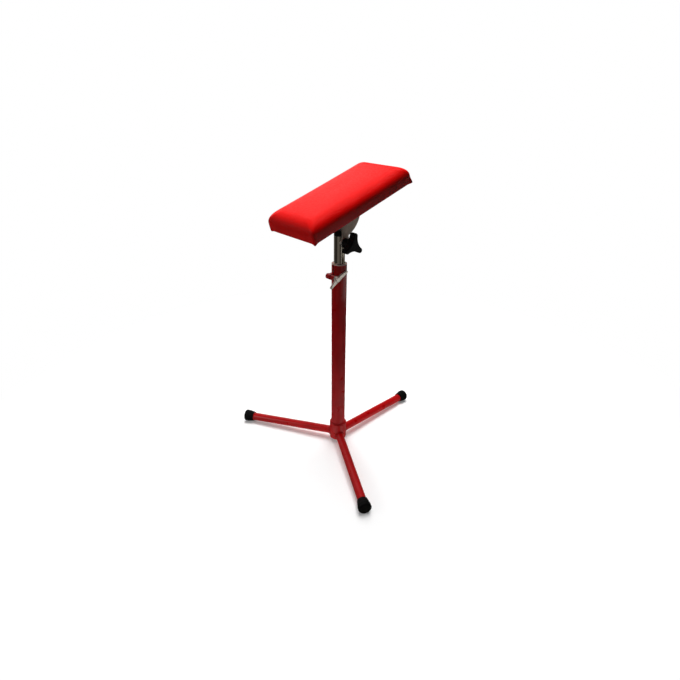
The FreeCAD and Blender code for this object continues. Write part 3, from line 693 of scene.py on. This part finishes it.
# %% Pad section
HEM = 25 * MM
HEM_EDGE = 0.3 * MM
HEM_FLAT = 3 * MM
VINYL = 1.2 * MM
EDGE_SHARES = (0.95, 0.3)
BOARD_TOP = 13.2 * MM
LOWER_ROUNDING = 3 * MM
UNDERSIDE_MARGIN = 2 * MM
SHOULDER_IN = 34 * MM
SHOULDER_HIGH = 27 * MM
CORNER = 8 * MM
CORNER_GROWTH = 0.45
HEM_CORNER = 2.5 * MM
HEM_CORNER_GROWTH = 0.2
SIDE_DRAW = 1.5 * MM
UNDERSIDE_STEPS = 6
SIDE_STEPS = 5
SHOULDER_STEPS = 12


def pad_section():
    """Inset, height and corner radius, from the hem's raw edge over the foam's shoulder."""
    steps = [(HEM, VINYL * share) for share in EDGE_SHARES] + [(HEM - HEM_EDGE, 0.0)]
    side_foot = LOWER_ROUNDING + SIDE_DRAW + UNDERSIDE_MARGIN
    for inset in np.linspace(HEM - HEM_FLAT, side_foot, UNDERSIDE_STEPS):
        steps.append((float(inset), 0.0))
    for turn in np.radians((90, 60, 30, 0)):
        inset = SIDE_DRAW + LOWER_ROUNDING * (1 - math.cos(turn))
        steps.append((inset, LOWER_ROUNDING * (1 - math.sin(turn))))
    steps = [(inset, height, HEM_CORNER + HEM_CORNER_GROWTH * inset) for inset, height in steps]
    shoulder = PAD_THICKNESS - SHOULDER_HIGH
    for share in np.linspace(0, 1, SIDE_STEPS + 1)[1:]:
        height = LOWER_ROUNDING + share * (shoulder - LOWER_ROUNDING)
        corner = HEM_CORNER + (CORNER - HEM_CORNER) * share
        steps.append((SIDE_DRAW * (1 - share) ** 2, height, corner))
    for turn in np.radians(np.linspace(0, 90, SHOULDER_STEPS + 1)[1:]):
        inset = SHOULDER_IN * (1 - math.cos(turn))
        height = shoulder + SHOULDER_HIGH * math.sin(turn)
        steps.append((inset, height, CORNER + CORNER_GROWTH * inset))
    return steps


print("pad section", len(pad_section()), "steps")

# %% One ring of the skin
ALONG_STEPS = 88
ACROSS_STEPS = 46
CORNER_STEPS = 8
RING_POINTS = 2 * (ALONG_STEPS + ACROSS_STEPS)


def outline(inset, height, corner, length=PAD_LENGTH, width=PAD_WIDTH):
    """A rounded rectangle's points, starting at the middle of the corner at -X, -Y."""
    half_x = length / 2 - inset
    half_y = width / 2 - inset
    half_arc = CORNER_STEPS // 2
    eighth = math.radians(45)

    def on_arc(side, turn):
        """A point on the rounding of the corner on one side in X and in Y."""
        centre_x, centre_y = side[0] * (half_x - corner), side[1] * (half_y - corner)
        return centre_x + corner * math.cos(turn), centre_y + corner * math.sin(turn)

    points = []
    for quarter, here in enumerate(SQUARE):
        after = SQUARE[(quarter + 1) % len(SQUARE)]
        middle = math.radians(225 + 90 * quarter)
        points += [on_arc(here, middle + eighth * k / half_arc) for k in range(half_arc + 1)]
        start, end = points[-1], on_arc(after, middle + eighth)
        straight = (ALONG_STEPS if quarter % 2 == 0 else ACROSS_STEPS) - CORNER_STEPS
        for k in range(1, straight + 1):
            share = k / straight
            points.append(tuple(a + (b - a) * share for a, b in zip(start, end)))
        points += [on_arc(after, middle + eighth + eighth * k / half_arc) for k in range(1, half_arc)]
    return [(x, y, height) for x, y in points]


print("points in a ring", len(outline(0, 0, CORNER)), "as planned", RING_POINTS)

# %% Grid inside a ring
def filled_grid(rim):
    """Points inside a rim of four sides, each the blend of its four nearest rim points."""
    a, b = ALONG_STEPS, ACROSS_STEPS
    rim = np.array(rim)
    low = rim[: a + 1]
    right = rim[a : a + b + 1]
    high = rim[a + b : 2 * a + b + 1][::-1]
    left = np.vstack([rim[2 * a + b :], rim[:1]])[::-1]
    grid = np.zeros((a + 1, b + 1, 3))
    for i in range(a + 1):
        u = i / a
        for j in range(b + 1):
            v = j / b
            grid[i, j] = (
                (1 - v) * low[i] + v * high[i] + (1 - u) * left[j] + u * right[j]
                - (1 - u) * (1 - v) * low[0] - u * (1 - v) * low[-1]
                - (1 - u) * v * high[0] - u * v * high[-1]
            )
    return grid


def rim_index(i, j):
    """Where the grid's edge point (i, j) lies on the rim."""
    a, b = ALONG_STEPS, ACROSS_STEPS
    if j == 0:
        return i
    if i == a:
        return a + j
    if j == b:
        return 2 * a + b - i
    return (2 * a + 2 * b - j) % (2 * a + 2 * b)


def fill_ring(points, faces, start, faces_down=False):
    """Fill the ring that begins at point start; gives its inner points, from -1 to 1 across."""
    grid = filled_grid(points[start : start + RING_POINTS])
    ids = {}
    inner = []
    for i in range(ALONG_STEPS + 1):
        for j in range(ACROSS_STEPS + 1):
            if i in (0, ALONG_STEPS) or j in (0, ACROSS_STEPS):
                ids[i, j] = start + rim_index(i, j)
                continue
            ids[i, j] = len(points)
            inner.append((len(points), 2 * i / ALONG_STEPS - 1, 2 * j / ACROSS_STEPS - 1))
            points.append(tuple(grid[i, j]))
    for i in range(ALONG_STEPS):
        for j in range(ACROSS_STEPS):
            face = (ids[i, j], ids[i + 1, j], ids[i + 1, j + 1], ids[i, j + 1])
            faces.append(face[::-1] if faces_down else face)
    return inner


print("quads in a filled ring", ALONG_STEPS * ACROSS_STEPS)

# %% The whole skin
START_CROWN = 1.5 * MM


def joined_rings(rings):
    """Points and faces of a wall of quads from each ring to the next."""
    points = [p for ring in rings for p in ring]
    faces = []
    for low in range(0, RING_POINTS * (len(rings) - 1), RING_POINTS):
        high = low + RING_POINTS
        for k in range(RING_POINTS):
            n = (k + 1) % RING_POINTS
            faces.append((low + k, low + n, high + n, high + k))
    return points, faces


def pad_skin():
    """Points and faces of the cover: rings, a crowned top and an inner floor."""
    rings = [outline(*step) for step in pad_section()]
    points, faces = joined_rings(rings)
    for index, u, v in fill_ring(points, faces, RING_POINTS * (len(rings) - 1)):
        x, y, z = points[index]
        points[index] = (x, y, z + START_CROWN * (1 - u * u) * (1 - v * v))
    fill_ring(points, faces, 0, faces_down=True)
    return points, faces


skin_points, skin_faces = pad_skin()
print("pad skin", len(skin_points), "points", len(skin_faces), "faces")

# %% [markdown]
# ## Blow up the pad
# Foam presses the vinyl out from inside, much as air does, so a cloth simulation with a
# little pressure gives the skin its crown and its full sides.
# The vinyl has a knitted backing that hardly stretches and the foam holds it from below,
# so it is stiff here, and air damping keeps it from ringing like a drum.
# The board is hard, so everything up to its top is pinned. The push is then capped, so
# that the pad keeps the size that the stand's maker gave it.

# %% Cloth simulation
PRESSURE = 4.0
LAST_FRAME = 20
PUSH_CAP = 5 * MM
SMALLEST_PUSH = 1e-9
STEPS_PER_FRAME = 6
SKIN_MASS = 0.25
STRETCH_STIFFNESS = 120
SHEAR_STIFFNESS = 60
BENDING_STIFFNESS = 30
AIR_DAMPING = 10


def blow_up(piece, pinned):
    """Cloth with pressure and pinned points, stepped and applied; the push is capped."""
    before = np.array([v.co for v in piece.data.vertices])
    group = piece.vertex_groups.new(name="pinned")
    group.add(pinned, 1.0, "REPLACE")
    cloth = piece.modifiers.new("cloth", "CLOTH")
    settings = cloth.settings
    settings.quality = STEPS_PER_FRAME
    settings.mass = SKIN_MASS
    settings.tension_stiffness = STRETCH_STIFFNESS
    settings.compression_stiffness = STRETCH_STIFFNESS
    settings.shear_stiffness = SHEAR_STIFFNESS
    settings.bending_stiffness = BENDING_STIFFNESS
    settings.air_damping = AIR_DAMPING
    settings.use_pressure = True
    settings.uniform_pressure_force = PRESSURE
    settings.effector_weights.gravity = 0
    settings.vertex_group_mass = group.name
    cloth.collision_settings.use_collision = False
    scene = bpy.context.scene
    for number in range(1, LAST_FRAME + 1):
        scene.frame_set(number)
    depsgraph = bpy.context.evaluated_depsgraph_get()
    moved = piece.evaluated_get(depsgraph).to_mesh()
    after = np.array([v.co for v in moved.vertices])
    piece.evaluated_get(depsgraph).to_mesh_clear()
    piece.modifiers.remove(cloth)
    piece.vertex_groups.clear()
    scene.frame_set(1)
    push = after - before
    length = np.linalg.norm(push, axis=1)
    capped = push * np.minimum(1, PUSH_CAP / np.maximum(length, SMALLEST_PUSH))[:, None]
    print("largest push", round(length.max() / MM, 2), "mm, mean", round(length.mean() / MM, 2))
    return before + capped


cover = mesh_object("pad_cover_vinyl", skin_points, skin_faces)
hard = [i for i, p in enumerate(skin_points) if p[2] < BOARD_TOP]
skin = np.array(skin_points)
skin = blow_up(cover, hard)
print("pad top", round(skin[:, 2].max() / MM, 2), "mm; half width", round(skin[:, 1].max() / MM, 2))

# %% [markdown]
# ## Pulls, pleats and staple dimples
# Vinyl does not shrink round a corner: the spare stuff is gathered into upright flutes on
# the side and folded into pleats underneath, where the staples hold it.
# What is folded under a corner makes a small point there, a few millimetres out and down.
# The upholsterer folds each corner by hand, so no two points are alike.
# Each is a smooth shift of the skin's points, worked out from how far a point lies from
# its corner or its staple.

# %% Staple places
STAPLE_WIDTH = 10 * MM
STAPLE_SETBACK = 5 * MM
STAPLES_ALONG = 6
STAPLES_ACROSS = 3


def staple_places():
    """Centres of the staples under the level pad, and whether each lies along it."""
    places = []
    half_x = PAD_LENGTH / 2 - HEM + STAPLE_SETBACK
    half_y = PAD_WIDTH / 2 - HEM + STAPLE_SETBACK
    for k in range(STAPLES_ALONG):
        x = PAD_LENGTH * ((k + 1) / (STAPLES_ALONG + 1) - 0.5)
        places += [((x, half_y), True), ((x, -half_y), True)]
    for k in range(STAPLES_ACROSS):
        y = PAD_WIDTH * ((k + 1) / (STAPLES_ACROSS + 1) - 0.5)
        places += [((half_x, y), False), ((-half_x, y), False)]
    return places


STAPLES = staple_places()
print("staples", len(STAPLES))

# %% Corner points
TIP_REACH = 14 * MM
TIP_HEIGHT = 18 * MM
TIPS = {
    (-1, -1): (3.0 * MM, 3.0 * MM),
    (1, -1): (4.5 * MM, 1.0 * MM),
    (-1, 1): (0.5 * MM, 3.5 * MM),
    (1, 1): (3.0 * MM, 2.0 * MM),
}


def smooth_step(value):
    """0 below 0, 1 above 1, and an even rise between."""
    value = min(max(value, 0.0), 1.0)
    return value * value * (3 - 2 * value)


def corner_side(point):
    """On which side of the pad's middle a point lies, in X and in Y."""
    return math.copysign(1, point[0]), math.copysign(1, point[1])


def corner_tip(point):
    """How far the folded vinyl pushes a point near a lower corner out and down."""
    sx, sy = corner_side(point)
    inside = math.hypot(PAD_LENGTH / 2 - abs(point[0]), PAD_WIDTH / 2 - abs(point[1]))
    share = smooth_step(1 - inside / TIP_REACH) * smooth_step(1 - max(point[2], 0) / TIP_HEIGHT)
    out, down = TIPS[sx, sy]
    return Vector((sx * out * share, sy * out * share, -down * share))


print("longest corner point", round(max(out for out, _ in TIPS.values()) / MM, 1), "mm")

# %% Pleats and dimples underneath
PLEAT_DEPTH = 0.9 * MM
PLEATS_PER_CORNER = 7
PLEAT_LOW_SHARE = 0.35
PLEATS_FROM = 8 * MM
PLEATS_TO = 40 * MM
PLEATS_FADE = 20 * MM
DIMPLE_DEPTH = 0.35 * MM
DIMPLE_REACH = 7 * MM
DIMPLE_BELOW = VINYL * 0.2


def pleat_drop(point):
    """How far a pleat near a corner lets a point of the underside hang."""
    sx, sy = corner_side(point)
    corner = Vector((sx * (PAD_LENGTH / 2 - CORNER), sy * (PAD_WIDTH / 2 - CORNER), 0))
    away = Vector((point[0], point[1], 0)) - corner
    inward = math.atan2(-away.y * sy, -away.x * sx)
    inside = 1 - smooth_step(abs(inward - math.pi / 4) / (math.pi / 4))
    begins = smooth_step(away.length / PLEATS_FROM)
    ends = smooth_step((PLEATS_TO - away.length) / PLEATS_FADE)
    fold = abs((inward / (math.pi / 2) * PLEATS_PER_CORNER) % 1 - PLEAT_LOW_SHARE)
    return PLEAT_DEPTH * (inside * begins * ends) * (1 - PLEAT_LOW_SHARE - fold)


def dimpled(x, y, z):
    """The height of a point of the underside once the staples near it have pulled it up."""
    for (cx, cy), along in STAPLES:
        dx, dy = (x - cx, y - cy) if along else (y - cy, x - cx)
        reach = math.hypot(max(abs(dx) - STAPLE_WIDTH / 2, 0), dy)
        if reach < DIMPLE_REACH and z < DIMPLE_BELOW:
            z += DIMPLE_DEPTH * (1 - smooth_step(reach / DIMPLE_REACH))
    return z


print("pleats", PLEATS_PER_CORNER * len(TIPS))

# %% Flutes on the sides
FLUTE_REACH = 26 * MM
FLUTE_DEPTH = 0.55 * MM
FLUTE_SPACING = 6.5 * MM
FLUTE_TOP = PAD_THICKNESS * 0.8
FLUTES_OUTSIDE = 2 * MM
FLUTES_ABOVE = 0.5 * MM
WOBBLE_LENGTH = 9 * MM
WOBBLE = 2.2
WOBBLE_SEEDS = (3.1, 7.7, 0.3)


def flute_push(point):
    """How far, in X and in Y, the flutes near a corner draw a point of the side in."""
    x, y, z = point
    sx, sy = corner_side(point)
    out_x = abs(x) - (PAD_LENGTH / 2 - CORNER)
    out_y = abs(y) - (PAD_WIDTH / 2 - CORNER)
    if max(out_x, out_y) <= FLUTES_OUTSIDE or z <= FLUTES_ABOVE:
        return 0.0, 0.0
    along_side = min(out_x, out_y)
    near = smooth_step(1 + along_side / FLUTE_REACH) if along_side < 0 else 1.0
    if along_side > 0:
        travel = math.atan2(out_y, out_x) * CORNER
    elif out_y > out_x:
        travel = -out_x
    else:
        travel = out_y - CORNER * math.pi / 2
    seed = sx * WOBBLE_SEEDS[0] + sy * WOBBLE_SEEDS[1]
    wobble = noise.noise(Vector((travel / WOBBLE_LENGTH, seed, WOBBLE_SEEDS[2]))) * WOBBLE
    wave = math.sin(2 * math.pi * travel / FLUTE_SPACING + wobble)
    push = FLUTE_DEPTH * near * smooth_step((FLUTE_TOP - z) / FLUTE_TOP) * (wave - 1) / 2
    outward = Vector((sx * max(out_x, 0), sy * max(out_y, 0), 0)).normalized()
    return outward.x * push, outward.y * push


print("flutes along a side", round(FLUTE_REACH / FLUTE_SPACING))

# %% Gather the skin
def gather(point):
    """A skin point moved by the pulls and pleats near it."""
    x, y, z = point
    if z < LOWER_ROUNDING:
        z = dimpled(x, y, z - pleat_drop(point))
    push_x, push_y = flute_push(point)
    return tuple(Vector((x + push_x, y + push_y, z)) + corner_tip(point))


gathered = [gather(p) for p in skin.tolist()]
cover.data.vertices.foreach_set("co", np.array(gathered).ravel())
cover.data.transform(pad_matrix)
cover.data.update()
smoothed = cover.modifiers.new("smooth", "SUBSURF")
smoothed.levels = 1
smoothed.render_levels = 1
cover.data.materials.append(FINISHES["red_vinyl"])
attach(cover, "pad")
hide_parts("pad_cover", "pad_foam")
print("gathered points", len(gathered))

# %% [markdown]
# ## Staples
# A staple is a length of wire bent twice. Only its crown shows, lying in the dimple that
# it pulls. A thin tube of eight sides follows the bent line, round enough at this size.

# %% Staples
STAPLE_WIRE = 0.8 * MM
STAPLE_LEG = 6 * MM
STAPLE_BEND = 0.8 * MM
WIRE_SIDES = 8
ASKEW = Vector((0.13, 0.97, 0.21))


def swept(path, radius, sides=WIRE_SIDES):
    """Points and faces of a closed tube along a path."""
    path = [Vector(p) for p in path]
    points, faces = [], []
    for k, here in enumerate(path):
        ahead = (path[min(k + 1, len(path) - 1)] - path[max(k - 1, 0)]).normalized()
        side = ahead.cross(ASKEW).normalized()
        up = side.cross(ahead)
        for s in range(sides):
            turn = 2 * math.pi * s / sides
            points.append(here + (side * math.cos(turn) + up * math.sin(turn)) * radius)
    for k in range(len(path) - 1):
        for s in range(sides):
            n = (s + 1) % sides
            faces.append((k * sides + s, k * sides + n, (k + 1) * sides + n, (k + 1) * sides + s))
    faces.append(tuple(range(sides))[::-1])
    last = (len(path) - 1) * sides
    faces.append(tuple(range(last, last + sides)))
    return points, faces


def staple_path():
    """The wire's line: up one leg, round two bends and along the crown."""
    half = STAPLE_WIDTH / 2 - STAPLE_WIRE / 2
    low = -STAPLE_WIRE / 2
    bend = np.radians((0, 30, 60, 90))
    path = [(-half, 0, STAPLE_LEG)]
    for sign in (-1, 1):
        for turn in (bend if sign < 0 else bend[::-1]):
            x = sign * (half - STAPLE_BEND * (1 - math.cos(turn)))
            path.append((x, 0, low + STAPLE_BEND * (1 - math.sin(turn))))
    path.append((half, 0, STAPLE_LEG))
    return path


staple_points, staple_faces = [], []
for (cx, cy), along in STAPLES:
    points, faces = swept(staple_path(), STAPLE_WIRE / 2)
    base = len(staple_points)
    for p in points:
        x, y = (p.x, p.y) if along else (-p.y, p.x)
        staple_points.append((cx + x, cy + y, p.z))
    staple_faces += [tuple(base + i for i in face) for face in faces]
staples = mesh_object("pad_staple_wires", staple_points, staple_faces)
staples.data.transform(pad_matrix)
dress(staples, "zinc_plated_steel")
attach(staples, "pad")
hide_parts("pad_staples")
print("staple points", len(staple_points))

# %% [markdown]
# ## Dust cloth
# The cloth under the board is thin and was never ironed: its underside waves by a tenth or
# two of a millimetre between its edges. It is made as two skins with a closed rim.

# %% Dust cloth
CLOTH_GAP = 0.3 * MM
CLOTH_LOW = 0.35 * MM
CLOTH_HIGH = 1.1 * MM
WAVE_HEIGHT = 0.12 * MM
WAVE_LIFT = 0.1 * MM
WAVE_LENGTH = 30 * MM
WAVE_WIDTH = 18 * MM
WAVE_SEED = 0.7
cloth_length = PAD_LENGTH - 2 * (HEM + CLOTH_GAP)
cloth_width = PAD_WIDTH - 2 * (HEM + CLOTH_GAP)


def cloth_skin():
    """Points and faces of the cloth: a rim, a waved underside and a flat upper side."""
    points, faces = joined_rings([
        outline(0, height, CORNER, cloth_length, cloth_width) for height in (CLOTH_LOW, CLOTH_HIGH)
    ])
    for index, _, _ in fill_ring(points, faces, 0, faces_down=True):
        x, y, z = points[index]
        wave = noise.noise(Vector((x / WAVE_LENGTH, y / WAVE_WIDTH, WAVE_SEED)))
        points[index] = (x, y, z + (WAVE_HEIGHT * wave + WAVE_LIFT))
    fill_ring(points, faces, RING_POINTS)
    return points, faces


cloth = mesh_object("pad_dust_cloth", *cloth_skin())
cloth.data.transform(pad_matrix)
dress(cloth, "dust_cloth")
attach(cloth, "pad")
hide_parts("pad_dust_cover")
print("dust cloth", round(cloth_length, 4), "by", round(cloth_width, 4))

# %% [markdown]
# ## Weld beads
# A weld is a row of small frozen pools, each lapping the one before. Under paint they
# show as ripples. The bead is swept along the joint as a quarter round between the two
# walls that it joins, and its size swells and falls once for each pool.

# %% Weld beads
HUB_RADIUS = 26 * MM
COLUMN_RADIUS = 21 * MM
HUB_TOP = 66 * MM
HUB_WELD = 3.5 * MM
LEG_WELD = 2.4 * MM
LEG_RADIUS = 12.5 * MM
LEG_HEIGHT = 27.7 * MM
LEG_REACH = 328 * MM
FOOT_CAP_RADIUS = 18.5 * MM
TREAD_DEPTH = 0.8 * MM
LEG_DROP = LEG_HEIGHT - (FOOT_CAP_RADIUS - TREAD_DEPTH)
LEG_ANGLES = (0, 120, 240)
POOL = 1.7 * MM
POOL_CRESCENT = 0.35
POOL_RISE = 0.12
POOL_FALL = 1.5
LEAST_SWELL = 0.93
UNEVENNESS = 0.10
UNEVEN_PLACES = 9
UNEVEN_SEED = 0.5
ROOT_SHARE = 0.2
SECTION_STEPS = 8
HUB_STEPS = 900
LEG_STEPS = 540


def bead(corners, size, seed):
    """A rippled quarter round along a closed line of (point, first wall, second wall)."""
    length = sum((corners[k][0] - corners[k - 1][0]).length for k in range(len(corners)))
    pools = round(length / POOL)
    points, faces = [], []
    count = len(corners)
    for k, (place, first, second) in enumerate(corners):
        for s in range(SECTION_STEPS + 1):
            turn = math.pi / 2 * s / SECTION_STEPS
            crescent = POOL_CRESCENT * math.sin(turn * 2)
            phase = (k / count * pools + crescent) % 1
            here = Vector((k / count * UNEVEN_PLACES, seed, UNEVEN_SEED))
            uneven = noise.noise(here) * UNEVENNESS
            swell = size * (LEAST_SWELL + POOL_RISE * (1 - phase) ** POOL_FALL + uneven)
            points.append(place + (first * math.cos(turn) + second * math.sin(turn)) * swell)
        points.append(place - (first + second) * size * ROOT_SHARE)
    row = SECTION_STEPS + 2
    for k in range(count):
        n = (k + 1) % count
        for s in range(row):
            t = (s + 1) % row
            faces.append((k * row + s, n * row + s, n * row + t, k * row + t))
    return points, faces


def hub_corner():
    """The circle where the column enters the hub, with the two walls there."""
    corners = []
    for k in range(HUB_STEPS):
        turn = 2 * math.pi * k / HUB_STEPS
        out = Vector((math.cos(turn), math.sin(turn), 0))
        place = Vector((COLUMN_AXIS.x, COLUMN_AXIS.y, HUB_TOP)) + out * COLUMN_RADIUS
        corners.append((place, out, Vector((0, 0, 1))))
    return corners


def leg_corner(angle):
    """The line where a sloping leg enters the hub, with the two walls there."""
    spin = Matrix.Rotation(math.radians(angle), 3, "Z")
    slope = math.atan2(LEG_DROP, LEG_REACH)
    along = Vector((math.cos(slope), 0, -math.sin(slope)))
    up = Vector((math.sin(slope), 0, math.cos(slope)))
    corners = []
    for k in range(LEG_STEPS):
        turn = 2 * math.pi * k / LEG_STEPS
        out = Vector((0, math.cos(turn), 0)) + up * math.sin(turn)
        start = Vector((0, 0, LEG_HEIGHT)) + out * LEG_RADIUS
        reach = (math.sqrt(HUB_RADIUS ** 2 - start.y ** 2) - start.x) / along.x
        place = start + along * reach
        wall = Vector((place.x, place.y, 0)).normalized()
        axis = Vector((COLUMN_AXIS.x, COLUMN_AXIS.y, 0))
        corners.append((axis + spin @ place, spin @ out, spin @ wall))
    return corners


weld_points, weld_faces = bead(hub_corner(), HUB_WELD, 1.0)
for seed, angle in enumerate(LEG_ANGLES):
    points, faces = bead(leg_corner(angle), LEG_WELD, 2.0 + seed)
    base = len(weld_points)
    weld_points += points
    weld_faces += [tuple(base + i for i in face) for face in faces]
welds = mesh_object("rippled_weld_beads", weld_points, weld_faces)
dress(welds, "red_enamel")
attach(welds, "stand")
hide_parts("weld_beads")
print("weld points", len(weld_points))

# %% [markdown]
# ## View settings
# The view settings stay plain, so that a colour on the screen is the colour that was
# written.

# %% Finish
bpy.context.scene.view_settings.view_transform = "Standard"
